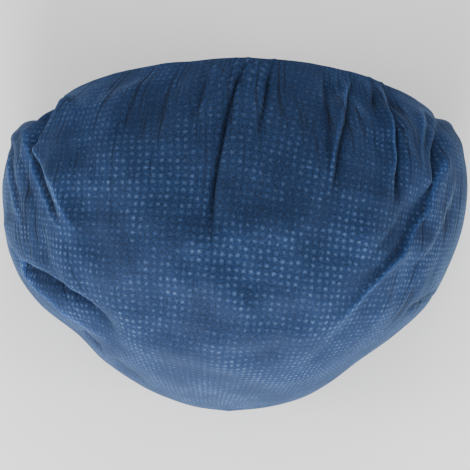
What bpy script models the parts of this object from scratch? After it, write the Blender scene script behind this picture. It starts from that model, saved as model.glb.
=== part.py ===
"""A bouffant cap of thin nonwoven cloth, puffed up and lying on its back.

The mouth faces +Y, the end of the crown faces -Y, and the cap rests on Z = 0.
Units are metres, with the origin under the middle of the cap's outline.
"""

from typing import NamedTuple

import bmesh
import bpy
import numpy as np

# Sizes of the whole cap as it lies
CAP_WIDTH = 0.281
CAP_DEPTH = 0.210
CAP_HEIGHT = 0.118
MOUTH_WIDTH = 0.2286
MERIDIAN_LENGTH = 0.262

# The crown's sheet and its rolled edge at the mouth
CROWN_WALL = 0.0012
LIP_TURN = 0.0022
FOOT_SOFTNESS = 0.0025

# The turned-in casing and the elastic that runs inside it
CLEARANCE = 0.0003
CASING_SETBACK = 0.0030
CASING_WALL = 0.0010
CASING_SLOPE = 0.0022
ELASTIC_WIDTH = 0.0060
ELASTIC_THICKNESS = 0.0008

# Folds, gathers and the part of them that the stitched edge lets through
FOLD_DEPTH = 0.0105
FOLD_WIDTH = 0.0075
GATHER_DEPTH = 0.0040
GATHER_COUNT = 17
GATHER_REACH = 0.18
EDGE_SHARE = 0.06
EDGE_FREE = 0.030

# How finely the cloth is divided
UPPER_STEPS = 58
UNDER_STEPS = 30
CROWN_ROWS = 21
CURVE_SAMPLES = 400
FINE_STEPS = 4
SOFTENING_PASSES = 20
PATH_SAMPLES = 40


class Section(NamedTuple):
    """One ring of the cap, from the mouth to the end of the crown.

    along is its share of the meridian. spread goes from 0, the mouth's width,
    to 1, the cap's. left and right are shares of half the cap's width. side,
    front and under are the places of its sides, its top and its underside
    down the cap's depth. waist, top and floor are their heights as shares of
    the cap's. shoulder is the share of its half width that the arch takes,
    and square is its squareness, 2 for a round one.
    """

    along: float
    spread: float
    left: float
    right: float
    side: float
    front: float
    under: float
    waist: float
    top: float
    floor: float
    shoulder: float
    square: float


SECTIONS = (
    Section(0.000, 0.00, 0.860, 0.880, 0.156, 0.000, 0.117, 0.394, 0.736, 0.050, 1.000, 2.2),
    Section(0.040, 0.60, 0.910, 0.925, 0.168, 0.045, 0.146, 0.392, 0.780, 0.010, 0.945, 2.3),
    Section(0.080, 1.00, 0.915, 0.928, 0.197, 0.089, 0.177, 0.385, 0.822, -0.030, 0.950, 2.4),
    Section(0.145, 1.00, 0.974, 0.983, 0.266, 0.163, 0.231, 0.345, 0.885, -0.070, 0.970, 2.4),
    Section(0.210, 1.00, 1.000, 1.000, 0.346, 0.234, 0.289, 0.310, 0.935, -0.090, 1.000, 2.3),
    Section(0.300, 1.00, 0.983, 0.974, 0.460, 0.337, 0.374, 0.280, 0.976, -0.095, 1.000, 2.2),
    Section(0.400, 1.00, 0.945, 0.910, 0.580, 0.457, 0.466, 0.262, 1.000, -0.095, 1.000, 2.2),
    Section(0.500, 1.00, 0.838, 0.821, 0.691, 0.577, 0.557, 0.255, 0.995, -0.095, 1.000, 2.2),
    Section(0.600, 1.00, 0.680, 0.689, 0.780, 0.694, 0.649, 0.250, 0.950, -0.095, 1.000, 2.2),
    Section(0.700, 1.00, 0.569, 0.535, 0.854, 0.800, 0.730, 0.248, 0.860, -0.090, 1.000, 2.1),
    Section(0.800, 1.00, 0.412, 0.390, 0.926, 0.883, 0.820, 0.245, 0.700, -0.070, 1.000, 2.0),
    Section(0.880, 1.00, 0.279, 0.271, 0.966, 0.934, 0.895, 0.242, 0.535, -0.020, 1.000, 2.0),
    Section(0.950, 1.00, 0.147, 0.117, 0.991, 0.973, 0.962, 0.240, 0.370, 0.095, 1.000, 2.0),
    Section(1.000, 1.00, 0.026, -0.026, 1.000, 1.000, 1.000, 0.235, 0.235, 0.235, 1.000, 2.0),
)
MOUTH_LEFT_SHARE = 0.958
MOUTH_RIGHT_SHARE = 1.042
LEFT_ARCH_POWER = 0.50
RIGHT_ARCH_POWER = 0.75


class Fold(NamedTuple):
    """One fold of the upper side, a curve in plan through three points.

    x is the share of half the cap's width from its middle, y the share of its
    depth down from the lip. depth and width are shares of FOLD_DEPTH and
    FOLD_WIDTH, and a negative depth is a raised ridge.
    """

    name: str
    x1: float
    y1: float
    x2: float
    y2: float
    x3: float
    y3: float
    depth: float
    width: float


FOLDS = (
    Fold("long_crease", 0.058, 0.00, -0.030, 0.17, -0.090, 0.42, 0.80, 0.75),
    Fold("long_crease_twin", 0.000, 0.01, -0.020, 0.05, -0.045, 0.10, 0.40, 0.60),
    Fold("faint_left_crease", -0.115, 0.02, -0.140, 0.12, -0.180, 0.20, 0.35, 0.80),
    Fold("short_crease", 0.156, 0.00, 0.122, 0.10, 0.105, 0.20, 0.75, 0.65),
    Fold("broad_valley", 0.365, 0.02, 0.378, 0.15, 0.385, 0.28, 0.65, 1.10),
    Fold("thin_crease", 0.500, 0.05, 0.445, 0.20, 0.415, 0.35, 0.65, 0.65),
    Fold("short_wedge", 0.570, 0.06, 0.577, 0.10, 0.582, 0.14, 0.50, 0.60),
    Fold("side_crease", 0.634, 0.07, 0.672, 0.22, 0.652, 0.38, 0.75, 0.70),
    Fold("side_ridge", 0.600, 0.09, 0.640, 0.22, 0.620, 0.36, -0.35, 0.80),
    Fold("corner_crease", 0.783, 0.12, 0.790, 0.16, 0.795, 0.20, 0.35, 0.70),
    Fold("right_wedge", 0.850, 0.14, 0.860, 0.33, 0.730, 0.46, 1.20, 0.90),
    Fold("right_rim_ridge", 0.875, 0.28, 0.720, 0.54, 0.360, 0.78, -0.60, 1.20),
    Fold("right_inner_valley", 0.700, 0.42, 0.500, 0.56, 0.380, 0.72, 0.60, 1.40),
    Fold("left_gap", -0.795, 0.15, -0.825, 0.19, -0.850, 0.26, 1.20, 0.80),
    Fold("left_ridge", -0.850, 0.24, -0.740, 0.38, -0.570, 0.58, -0.50, 1.30),
    Fold("left_outer_crease", -0.915, 0.26, -0.900, 0.36, -0.790, 0.52, 0.45, 1.20),
    Fold("tuck", -0.970, 0.48, -0.850, 0.61, -0.500, 0.76, 1.15, 1.15),
    Fold("tuck_lip", -0.930, 0.46, -0.760, 0.58, -0.520, 0.71, -0.45, 1.00),
    Fold("lower_right_crease", 0.820, 0.66, 0.780, 0.69, 0.745, 0.71, 0.40, 0.70),
    Fold("lower_left_crease", -0.640, 0.76, -0.620, 0.78, -0.590, 0.81, 0.35, 0.70),
)

CLOTH_COLOUR = (0.012, 0.058, 0.165, 1.0)
CASING_COLOUR = (0.009, 0.043, 0.125, 1.0)
ELASTIC_COLOUR = (0.55, 0.56, 0.58, 1.0)


def smoothstep(value):
    """Ease from 0 to 1 as value goes from 0 to 1."""
    held = np.clip(value, 0.0, 1.0)
    return held * held * (3.0 - 2.0 * held)


def smooth_column(name, along):
    """One column of SECTIONS at the shares along, on a smooth curve through its rows."""
    places = np.array([row.along for row in SECTIONS])
    values = np.array([getattr(row, name) for row in SECTIONS])
    slopes = np.gradient(values, places)
    index = np.clip(np.searchsorted(places, along) - 1, 0, len(places) - 2)
    span = places[index + 1] - places[index]
    share = (along - places[index]) / span
    start = values[index] * (1 + 2 * share) * (1 - share) ** 2
    end = values[index + 1] * (3 - 2 * share) * share**2
    bend = slopes[index] * share * (1 - share) ** 2 - slopes[index + 1] * (1 - share) * share**2
    return start + end + bend * span


def even_points(points, count):
    """The first count of count + 1 points spaced evenly by length along a dense curve."""
    lengths = np.linalg.norm(np.diff(points, axis=0), axis=1)
    travelled = np.concatenate(([0.0], np.cumsum(lengths)))
    wanted = np.linspace(0.0, travelled[-1], count + 1)[:-1]
    return np.stack([np.interp(wanted, travelled, points[:, axis]) for axis in range(3)], axis=1)


def soft_floor(height):
    """Heights pressed flat onto Z = 0, with a soft edge to the flat."""
    bent = (height + FOOT_SOFTNESS) ** 2 / (4 * FOOT_SOFTNESS)
    lifted = np.where(height > FOOT_SOFTNESS, height, bent)
    return np.where(height < -FOOT_SOFTNESS, 0.0, lifted)


def ring(along):
    """The points of the unfolded cloth round one section, from its right side over the top."""
    row = {name: float(smooth_column(name, np.array(along))) for name in Section._fields[1:]}
    half = CAP_WIDTH / 2
    mouth = MOUTH_WIDTH / 2
    left = -mouth * MOUTH_LEFT_SHARE * (1 - row["spread"]) - half * row["left"] * row["spread"]
    right = mouth * MOUTH_RIGHT_SHARE * (1 - row["spread"]) + half * row["right"] * row["spread"]
    centre, reach = (left + right) / 2, (right - left) / 2
    halves = []
    for upper, start, end in ((True, 0.0, np.pi), (False, np.pi, 2 * np.pi)):
        across = np.cos(np.linspace(start, end, CURVE_SAMPLES))
        rise = (1 - np.abs(across) ** row["square"]).clip(0) ** (1 / row["square"])
        if upper:
            inner = np.clip(1 - (across / row["shoulder"]) ** 2, 0.0, 1.0)
            arch = np.where(across < 0, inner**LEFT_ARCH_POWER, inner**RIGHT_ARCH_POWER)
            down = row["side"] + (row["front"] - row["side"]) * arch
            high = row["waist"] + (row["top"] - row["waist"]) * rise
        else:
            down = row["side"] + (row["under"] - row["side"]) * np.sqrt((1 - across**2).clip(0))
            high = row["waist"] + (row["floor"] - row["waist"]) * rise
        places = (centre + reach * across, CAP_DEPTH * (0.5 - down), CAP_HEIGHT * high)
        steps = UPPER_STEPS if upper else UNDER_STEPS
        halves.append(even_points(np.stack(places, axis=1), steps * FINE_STEPS))
    points = np.concatenate(halves)
    for _ in range(SOFTENING_PASSES):
        points = (np.roll(points, 1, axis=0) + 2 * points + np.roll(points, -1, axis=0)) / 4
    points = points[::FINE_STEPS]
    points[:, 2] = soft_floor(points[:, 2])
    return points


def surface_normals(points):
    """The outward direction at each point of a grid of rings."""
    around = np.roll(points, -1, axis=1) - np.roll(points, 1, axis=1)
    along = np.gradient(points, axis=0)
    outward = np.cross(around, along)
    size = np.linalg.norm(outward, axis=2, keepdims=True)
    return outward / np.maximum(size, 1e-12)


def fold_relief(fold, points):
    """How far one fold sinks each point, from 0 to the fold's depth."""
    share = np.linspace(0.0, 1.0, PATH_SAMPLES)[:, None]
    start, middle, end = ((fold.x1, fold.y1), (fold.x2, fold.y2), (fold.x3, fold.y3))
    control = 2 * np.array(middle) - (np.array(start) + np.array(end)) / 2
    path = np.array(start) * (1 - share) ** 2 + 2 * control * share * (1 - share) + np.array(end) * share**2
    path_x = path[:, 0] * CAP_WIDTH / 2
    path_y = CAP_DEPTH * (0.5 - path[:, 1])
    distance = np.hypot(points[..., 0, None] - path_x, points[..., 1, None] - path_y)
    nearest = distance.min(axis=-1) / (FOLD_WIDTH * fold.width)
    strength = 1 - 0.6 * smoothstep(distance.argmin(axis=-1) / PATH_SAMPLES)
    return fold.depth * FOLD_DEPTH * strength * np.exp(-nearest**2)


def cloth_points(alongs):
    """The outer face of the cloth at a list of shares of the meridian, with its normals."""
    points = np.stack([ring(along) for along in alongs])
    normals = surface_normals(points)
    upward = smoothstep(normals[..., 2] * 2.0 + 0.6)
    edge = (np.asarray(alongs) * MERIDIAN_LENGTH - casing_end()) / EDGE_FREE
    freedom = (EDGE_SHARE + (1 - EDGE_SHARE) * smoothstep(edge))[:, None]
    relief = sum(fold_relief(fold, points) for fold in FOLDS) * upward
    steps = UPPER_STEPS + UNDER_STEPS
    turn = np.arange(steps) / steps
    hidden = 1 - smoothstep(normals[..., 2] * 3.0 + 0.8)
    fade = np.exp(-np.asarray(alongs) / GATHER_REACH)[:, None]
    gathers = GATHER_DEPTH * (0.5 - 0.5 * np.cos(2 * np.pi * GATHER_COUNT * turn)) * hidden * fade
    resting = points[..., 2] <= 0.0
    points = points - normals * ((relief + gathers) * freedom)[..., None]
    points[..., 2] = np.where(resting, 0.0, np.maximum(points[..., 2], 0.0))
    return points, surface_normals(points)


def casing_lines():
    """How far from the mouth's edge the casing and its pocket start and end."""
    pocket = CASING_SETBACK + CASING_SLOPE
    return (CASING_SETBACK, pocket, pocket + ELASTIC_WIDTH, pocket + ELASTIC_WIDTH + CASING_SLOPE)


def casing_end():
    """How far from the mouth's edge the casing ends."""
    return casing_lines()[-1]


def crown_alongs():
    """The shares of the meridian at which the crown has a row of points."""
    edge = [0.0] + [line / MERIDIAN_LENGTH for line in casing_lines()]
    rest = np.linspace(edge[-1], 1.0, CROWN_ROWS + 1)[1:]
    return edge + list(rest)


def grid_object(name, rows):
    """A tube of cloth through rows of points, as one object with its seam welded."""
    row_count, steps = rows.shape[:2]
    mesh = bmesh.new()
    bmesh.ops.create_grid(mesh, x_segments=steps, y_segments=row_count - 1, size=0.5)
    for vertex in mesh.verts:
        column = round((vertex.co.x + 0.5) * steps) % steps
        row = round((vertex.co.y + 0.5) * (row_count - 1))
        vertex.co = rows[row, column]
    bmesh.ops.remove_doubles(mesh, verts=mesh.verts, dist=1e-6)
    data = bpy.data.meshes.new(name)
    mesh.to_mesh(data)
    mesh.free()
    data.shade_smooth()
    made = bpy.data.objects.new(name, data)
    PARTS.objects.link(made)
    return made


def add_wall(made, thickness):
    """Give an open sheet a wall on its inner side."""
    wall = made.modifiers.new("Wall", "SOLIDIFY")
    wall.thickness = thickness
    wall.offset = -1.0


def add_finish(made, colour, roughness):
    """Give a piece its own plain material."""
    finish = bpy.data.materials.new(made.name)
    finish.use_nodes = True
    shader = finish.node_tree.nodes["Principled BSDF"]
    shader.inputs["Base Color"].default_value = colour
    shader.inputs["Roughness"].default_value = roughness
    shader.inputs["Metallic"].default_value = 0.0
    made.data.materials.append(finish)


def build_crown():
    """The puffed crown, one sheet whose edge rolls in at the mouth."""
    points, normals = cloth_points(crown_alongs())
    outward = points[0] - points[1]
    outward /= np.linalg.norm(outward, axis=1, keepdims=True)
    lip = points[0] - normals[0] * LIP_TURN + outward * LIP_TURN * 0.3
    crown = grid_object("crown", np.concatenate((lip[None], points)))
    add_wall(crown, CROWN_WALL)
    add_finish(crown, CLOTH_COLOUR, 0.75)


def build_casing():
    """The hem turned in behind the mouth's edge, bowed to make room for the elastic."""
    points, normals = cloth_points(crown_alongs())
    seat = CROWN_WALL + CLEARANCE
    pocket = seat + ELASTIC_THICKNESS + 2 * CLEARANCE
    depths = np.array((seat, pocket, pocket, seat))[:, None, None]
    lines = slice(1, 1 + len(depths))
    casing = grid_object("hem_casing", points[lines] - normals[lines] * depths)
    add_wall(casing, CASING_WALL)
    add_finish(casing, CASING_COLOUR, 0.8)


def build_elastic():
    """The flat elastic band that runs round inside the casing."""
    points, normals = cloth_points(crown_alongs())
    outer = CROWN_WALL + 2 * CLEARANCE
    lines = slice(2, 4)
    elastic = grid_object("elastic", points[lines] - normals[lines] * outer)
    add_wall(elastic, ELASTIC_THICKNESS)
    add_finish(elastic, ELASTIC_COLOUR, 0.6)


for old in list(bpy.data.objects):
    bpy.data.objects.remove(old, do_unlink=True)
PARTS = bpy.data.collections.new("bouffant_cap")
bpy.context.scene.collection.children.link(PARTS)
build_crown()
build_casing()
build_elastic()
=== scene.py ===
"""The looks of a puffed bouffant cap of dotted nonwoven, lying on its back.

The cloth, its turned-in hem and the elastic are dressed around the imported
model of the cap's solids. Everything is in metres with +Z up. The mouth
faces +Y and the end of the crown faces -Y.
"""

import logging
from abc import ABC, abstractmethod
from dataclasses import dataclass
from enum import Enum

import bmesh
import bpy
import numpy as np
from mathutils import Matrix, Vector


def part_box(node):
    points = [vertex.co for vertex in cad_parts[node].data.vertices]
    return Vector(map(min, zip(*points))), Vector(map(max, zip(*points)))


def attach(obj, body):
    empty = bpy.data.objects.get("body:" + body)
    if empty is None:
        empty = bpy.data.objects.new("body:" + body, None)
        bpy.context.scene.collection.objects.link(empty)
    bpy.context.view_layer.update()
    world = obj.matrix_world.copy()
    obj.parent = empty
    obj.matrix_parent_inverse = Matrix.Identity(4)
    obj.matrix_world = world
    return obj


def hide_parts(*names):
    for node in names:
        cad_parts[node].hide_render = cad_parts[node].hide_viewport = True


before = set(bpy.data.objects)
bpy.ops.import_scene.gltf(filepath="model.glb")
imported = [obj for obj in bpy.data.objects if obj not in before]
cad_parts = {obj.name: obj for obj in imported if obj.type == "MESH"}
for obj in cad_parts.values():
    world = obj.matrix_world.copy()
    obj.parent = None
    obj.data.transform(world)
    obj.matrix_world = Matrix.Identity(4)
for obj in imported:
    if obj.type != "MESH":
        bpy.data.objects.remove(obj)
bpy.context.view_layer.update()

LOG = logging.getLogger("bouffant_cap")
ROOT_BODY = "root"
MILLIMETRE = 0.001
TINY = 1e-12
WELD_DISTANCE = 1e-6
BAND_MARGIN = 0.002


class Slot(Enum):
    """Names for the material slots of the cap's pieces."""

    CLOTH = "nonwoven"
    INNER_CLOTH = "nonwoven_inner"
    ELASTIC = "elastic"


@dataclass(frozen=True)
class Section:
    """One ring of the cap, from the mouth to the end of the crown.

    Places down the cap's depth, heights and half widths are shares of the
    cap's own depth, height and half width. spread goes from 0, the mouth's
    width, to 1, the cap's.
    """

    along: float
    spread: float
    left: float
    right: float
    side: float
    front: float
    under: float
    waist: float
    top: float
    floor: float
    shoulder: float
    square: float


SECTIONS = (
    Section(0.000, 0.00, 0.860, 0.880, 0.156, 0.000, 0.117, 0.394, 0.736, 0.050, 1.000, 2.2),
    Section(0.040, 0.60, 0.910, 0.925, 0.168, 0.045, 0.146, 0.392, 0.780, 0.010, 0.945, 2.3),
    Section(0.080, 1.00, 0.915, 0.928, 0.197, 0.089, 0.177, 0.385, 0.822, -0.030, 0.950, 2.4),
    Section(0.145, 1.00, 0.974, 0.983, 0.266, 0.163, 0.231, 0.345, 0.885, -0.070, 0.970, 2.4),
    Section(0.210, 1.00, 1.000, 1.000, 0.346, 0.234, 0.289, 0.310, 0.935, -0.090, 1.000, 2.3),
    Section(0.300, 1.00, 0.994, 0.985, 0.460, 0.337, 0.374, 0.280, 0.976, -0.095, 1.000, 2.2),
    Section(0.400, 1.00, 0.958, 0.924, 0.580, 0.457, 0.466, 0.262, 1.000, -0.095, 1.000, 2.2),
    Section(0.500, 1.00, 0.848, 0.832, 0.691, 0.577, 0.557, 0.255, 0.995, -0.095, 1.000, 2.2),
    Section(0.600, 1.00, 0.680, 0.689, 0.780, 0.694, 0.649, 0.250, 0.950, -0.095, 1.000, 2.2),
    Section(0.700, 1.00, 0.569, 0.535, 0.854, 0.800, 0.730, 0.248, 0.860, -0.090, 1.000, 2.1),
    Section(0.800, 1.00, 0.412, 0.390, 0.926, 0.883, 0.820, 0.245, 0.700, -0.070, 1.000, 2.0),
    Section(0.880, 1.00, 0.279, 0.271, 0.966, 0.934, 0.895, 0.242, 0.535, -0.020, 1.000, 2.0),
    Section(0.950, 1.00, 0.147, 0.117, 0.991, 0.973, 0.962, 0.240, 0.370, 0.095, 1.000, 2.0),
    Section(1.000, 1.00, 0.026, -0.026, 1.000, 1.000, 1.000, 0.235, 0.235, 0.235, 1.000, 2.0),
)


@dataclass(frozen=True)
class Fold:
    """One fold of the upper side, along a curve in plan. Lengths are in millimetres.

    A negative depth raises the cloth. low_width is the reach on the -X side of
    a fold that runs from the mouth on, high_width that on its other side, and
    softness rounds the bottom. rise and fall are the shares of the length over
    which it starts and ends.
    """

    name: str
    depth: float
    low_width: float
    high_width: float
    softness: float
    rise: float
    fall: float
    points: tuple[tuple[float, float], ...]


FOLDS = (
    Fold("long_crease", 3.57, 1.36, 1.86, 0.49, 0.02, 0.45,
         ((8.1, 104.4), (2.1, 94.2), (-1.5, 83.4), (-5.1, 68.4), (-7.5, 54.6), (-10.5, 40.2),
          (-12.9, 18.6), (-13.5, -0.6), (-12.9, -16.8))),
    Fold("long_crease_twin", 1.36, 1.24, 1.24, 0.42, 0.02, 0.5,
         ((-0.3, 104.4), (-2.1, 97.2), (-3.9, 90.0), (-5.1, 81.6))),
    Fold("faint_left_crease", 1.3, 2.6, 2.6, 1.4, 0.05, 0.5,
         ((-15.9, 99.6), (-18.3, 86.4), (-21.3, 75.6), (-24.9, 67.2), (-29.1, 56.4))),
    Fold("short_crease", 3.06, 1.24, 1.36, 0.49, 0.02, 0.5,
         ((22.5, 104.4), (19.5, 93.0), (17.7, 83.4), (15.9, 73.2), (14.1, 63.6), (12.9, 49.2))),
    Fold("broad_valley_edge", 1.53, 0.74, 1.86, 0.42, 0.02, 0.6,
         ((51.3, 98.4), (51.9, 90.0), (52.5, 81.6), (52.5, 69.6))),
    Fold("broad_valley", 2.6, 2.4, 3, 1.6, 0.15, 0.5,
         ((52.5, 96.0), (53.7, 80.4), (54.3, 65.4), (54.3, 50.4), (52.5, 33.6), (50.7, 17.4))),
    Fold("tiny_crease", 1.36, 0.99, 0.99, 0.42, 0.02, 0.5,
         ((59.7, 97.2), (60.3, 91.2), (60.9, 85.2))),
    Fold("thin_crease", 2.72, 0.87, 1.98, 0.42, 0.02, 0.35,
         ((70.5, 94.8), (66.9, 85.8), (64.5, 71.4), (62.1, 60.0), (60.9, 51.0), (59.1, 39.6),
          (56.7, 28.2), (55.5, 17.4))),
    Fold("thin_ridge", -1.02, 2.17, 0.74, 0.63, 0.05, 0.4,
         ((67.5, 92.4), (63.9, 83.4), (61.5, 71.4), (59.1, 58.8), (57.9, 50.4), (56.1, 39.6),
          (54.3, 29.4))),
    Fold("short_wedge", 2.38, 0.99, 1.12, 0.49, 0.02, 0.45,
         ((78.9, 93.0), (80.7, 86.4), (81.3, 80.4), (81.9, 72.0))),
    Fold("side_crease", 3.57, 0.87, 2.11, 0.42, 0.02, 0.2,
         ((86.1, 90.6), (90.3, 81.6), (92.7, 70.2), (94.5, 58.2), (95.7, 49.2), (94.5, 38.4),
          (93.3, 25.2), (92.1, 18.0))),
    Fold("side_ridge", -1.1, 2.48, 0.74, 0.63, 0.05, 0.3,
         ((83.7, 90.0), (87.3, 81.0), (90.3, 69.6), (92.1, 58.2), (93.3, 49.2), (92.1, 39.6),
          (90.3, 31.2))),
    Fold("side_swell_edge", 1.02, 1.12, 1.12, 0.56, 0.05, 0.5,
         ((88.5, 88.8), (92.1, 82.8), (96.9, 74.4), (99.3, 67.2))),
    Fold("corner_crease", 1.27, 0.99, 1.12, 0.63, 0.05, 0.5,
         ((111.9, 74.4), (113.1, 65.4), (113.1, 55.2), (111.3, 44.4))),
    Fold("corner_ridge", -0.94, 1.12, 0.99, 0.63, 0.1, 0.4,
         ((108.3, 76.8), (110.1, 64.8), (109.5, 54.0), (109.5, 43.2), (107.7, 32.4))),
    Fold("right_wedge", 5, 1.2, 2.2, 0.5, 0.45, 0.35,
         ((119.1, 76.8), (119.4, 69.6), (119.5, 62.4), (118.8, 52.2), (117.9, 44.4), (116.5, 34.2),
          (113.7, 26.4), (110.7, 19.2))),
    Fold("right_edge_ridge", -2.4, 2, 7, 0.9, 0.1, 0.3,
         ((123.9, 51.6), (122.7, 43.8), (119.1, 35.4), (116.4, 28.8), (113.1, 15.6), (108.3, 8.4),
          (103.5, 1.8), (95.7, -9.6), (89.7, -16.8), (81.3, -25.8), (74.1, -34.2), (61.5, -46.8),
          (50.7, -57.6))),
    Fold("right_inner_valley", 2.8, 4.2, 2.4, 1.8, 0.2, 0.5,
         ((117.3, 38.4), (114.3, 30.6), (110.1, 21.6), (105.3, 10.8), (100.5, 3.0), (93.3, -7.2),
          (84.9, -15.6), (75.3, -24.0), (66.3, -33.6))),
    Fold("right_second_valley", 1.8, 2.8, 2.8, 1.6, 0.2, 0.5,
         ((100.5, 22.8), (96.9, 13.2), (90.9, 3.6), (82.5, -6.0), (72.9, -16.8))),
    Fold("right_shoulder", -1.8, 6, 5, 3, 0.3, 0.3,
         ((108.9, 85.2), (116.1, 79.2), (122.1, 73.8), (128.1, 67.8), (134.1, 60.0), (139.5, 46.8))),
    Fold("right_outer_groove", 1.3, 2.2, 2.2, 1.2, 0.2, 0.4,
         ((132.3, 38.4), (130.5, 26.4), (125.7, 12.0), (117.3, -3.6), (106.5, -16.8), (94.5, -31.2))),
    Fold("lower_right_crease", 1.87, 1.12, 1.12, 0.63, 0.05, 0.4,
         ((119.7, -32.4), (114.9, -35.4), (110.1, -38.4), (104.1, -42.0), (98.1, -46.8))),
    Fold("left_gap", 9, 2.8, 0.9, 0.5, 0.2, 0.14,
         ((-102.3, 81.6), (-106.5, 75.6), (-110.7, 69.0), (-113.7, 62.4), (-117.9, 54.0))),
    Fold("left_panel_edge", -2.2, 0.85, 5.95, 0.49, 0.04, 0.25,
         ((-98.7, 84.0), (-103.5, 79.8), (-107.7, 74.4), (-111.3, 68.4), (-114.3, 61.8),
          (-117.9, 55.2), (-119.1, 52.8))),
    Fold("left_groove", 2.04, 0.99, 0.87, 0.49, 0.06, 0.4,
         ((-118.5, 55.2), (-119.1, 49.8), (-115.5, 40.8), (-111.9, 32.4), (-108.3, 24.0),
          (-103.5, 14.4), (-97.5, 3.6))),
    Fold("left_ridge", -1.19, 0.99, 3.1, 0.56, 0.06, 0.45,
         ((-119.1, 54.6), (-114.9, 45.0), (-109.5, 37.2), (-104.7, 29.4), (-101.7, 21.6), (-95.1, 8.4),
          (-87.9, -3.6))),
    Fold("lobe_ridge", -1.19, 1.86, 0.87, 0.56, 0.06, 0.45,
         ((-123.9, 66.0), (-123.3, 61.2), (-120.3, 49.8), (-119.1, 39.6), (-116.1, 31.2),
          (-111.9, 22.8), (-107.1, 13.8), (-99.9, 4.8), (-89.7, -4.8))),
    Fold("lobe_groove", 1.36, 0.99, 1.24, 0.63, 0.1, 0.4,
         ((-131.7, 58.8), (-132.3, 50.4), (-131.7, 41.4), (-129.9, 31.2), (-126.3, 20.4),
          (-120.3, 8.4))),
    Fold("lobe_outer_ridge", -0.85, 0.99, 0.99, 0.56, 0.1, 0.4,
         ((-134.7, 55.2), (-134.7, 47.4), (-134.1, 37.2), (-131.1, 24.0), (-125.7, 11.4),
          (-119.1, 0.6))),
    Fold("lobe_thin_groove", 0.85, 0.87, 0.87, 0.49, 0.1, 0.4,
         ((-127.5, 64.8), (-126.3, 53.4), (-123.9, 39.6), (-120.3, 26.4), (-114.3, 13.2))),
    Fold("lobe_shoulder", -2.8, 5, 4, 3.5, 0.25, 0.35,
         ((-115.5, 75.6), (-120.3, 72.6), (-125.1, 69.0), (-130.5, 61.8), (-134.7, 50.4))),
    Fold("lobe_notch", 3, 2.4, 2, 1.8, 0.05, 0.5,
         ((-103.5, 86.4), (-107.1, 81.0), (-110.7, 74.4), (-112.5, 69.6), (-114.9, 64.2))),
    Fold("tuck_edge", -1.6, 2, 7, 1.4, 0.08, 0.35,
         ((-136.5, 15.6), (-135.9, 7.2), (-132.3, -2.4), (-127.5, -11.4), (-120.3, -14.4),
          (-110.1, -20.4), (-98.1, -28.2), (-85.5, -36.0), (-74.7, -45.6), (-66.3, -52.8))),
    Fold("tuck", 6, 1.9, 1.8, 1.2, 0.2, 0.5,
         ((-133.5, -5.4), (-128.7, -14.4), (-120.3, -20.4), (-109.5, -25.8), (-98.1, -33.0),
          (-86.1, -40.2), (-74.7, -49.8), (-63.9, -58.8))),
    Fold("tuck_step", 2.6, 1.8, 0.9, 0.5, 0.16, 0.5,
         ((-134.1, -1.2), (-128.7, -11.4), (-120.3, -16.8), (-109.5, -22.2), (-98.1, -30.0),
          (-86.1, -37.8), (-75.3, -47.4), (-67.5, -54.6))),
    Fold("tuck_ridge", -2.6, 1.6, 2.2, 0.7, 0.15, 0.45,
         ((-132.3, -7.2), (-126.9, -19.2), (-117.9, -28.2), (-107.7, -36.0), (-101.1, -42.0),
          (-91.5, -48.6), (-80.7, -56.4), (-69.9, -63.6))),
    Fold("lower_left_crease", 1.7, 0.99, 0.99, 0.56, 0.1, 0.4,
         ((-91.5, -54.6), (-86.7, -59.4), (-81.9, -63.6), (-76.5, -68.4))),
    Fold("bottom_left_dent", 1.5, 2, 2, 1, 0.1, 0.4,
         ((-73.5, -70.8), (-65.1, -78.0), (-56.7, -84.0), (-49.5, -87.6))),
    Fold("centre_band", 0.4, 4, 4, 3, 0.2, 0.3,
         ((18.3, 11.4), (17.7, -6.6), (17.7, -24.6), (18.9, -45.6), (20.1, -63.6))),
    Fold("centre_cross_swell", -0.5, 5, 5, 4, 0.2, 0.3,
         ((-95.7, 17.4), (-74.7, 24.0), (-50.7, 30.0), (-20.7, 34.8))),
    Fold("low_cross_band", 0.35, 5, 5, 3.5, 0.2, 0.3,
         ((-38.7, -40.8), (-8.7, -44.4), (21.3, -44.4), (48.3, -39.6))),
    Fold("low_cross_swell", -0.4, 5, 5, 3.5, 0.2, 0.3,
         ((-41.7, -56.4), (-8.7, -61.2), (24.3, -61.2), (54.3, -55.2))),
)


def smoothstep(value: np.ndarray) -> np.ndarray:
    """Ease from 0 to 1 as value goes from 0 to 1."""
    held = np.clip(value, 0.0, 1.0)
    return held * held * (3.0 - 2.0 * held)


def surface_normals(points: np.ndarray) -> np.ndarray:
    """Work out the outward direction at each point of a closed grid of rings.

    Args:
        points: the grid, rows from the mouth on, columns round each ring.

    Returns:
        A unit vector for each point.
    """
    around = np.roll(points, -1, axis=1) - np.roll(points, 1, axis=1)
    outward = np.cross(around, np.gradient(points, axis=0))
    return outward / np.maximum(np.linalg.norm(outward, axis=2, keepdims=True), TINY)


@dataclass(frozen=True)
class Lean:
    """A mask that eases in as the cloth turns its outer face upwards."""

    gain: float
    start: float

    def of(self, normals: np.ndarray) -> np.ndarray:
        """Read the mask from the outward directions."""
        return smoothstep(normals[..., 2] * self.gain + self.start)


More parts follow.
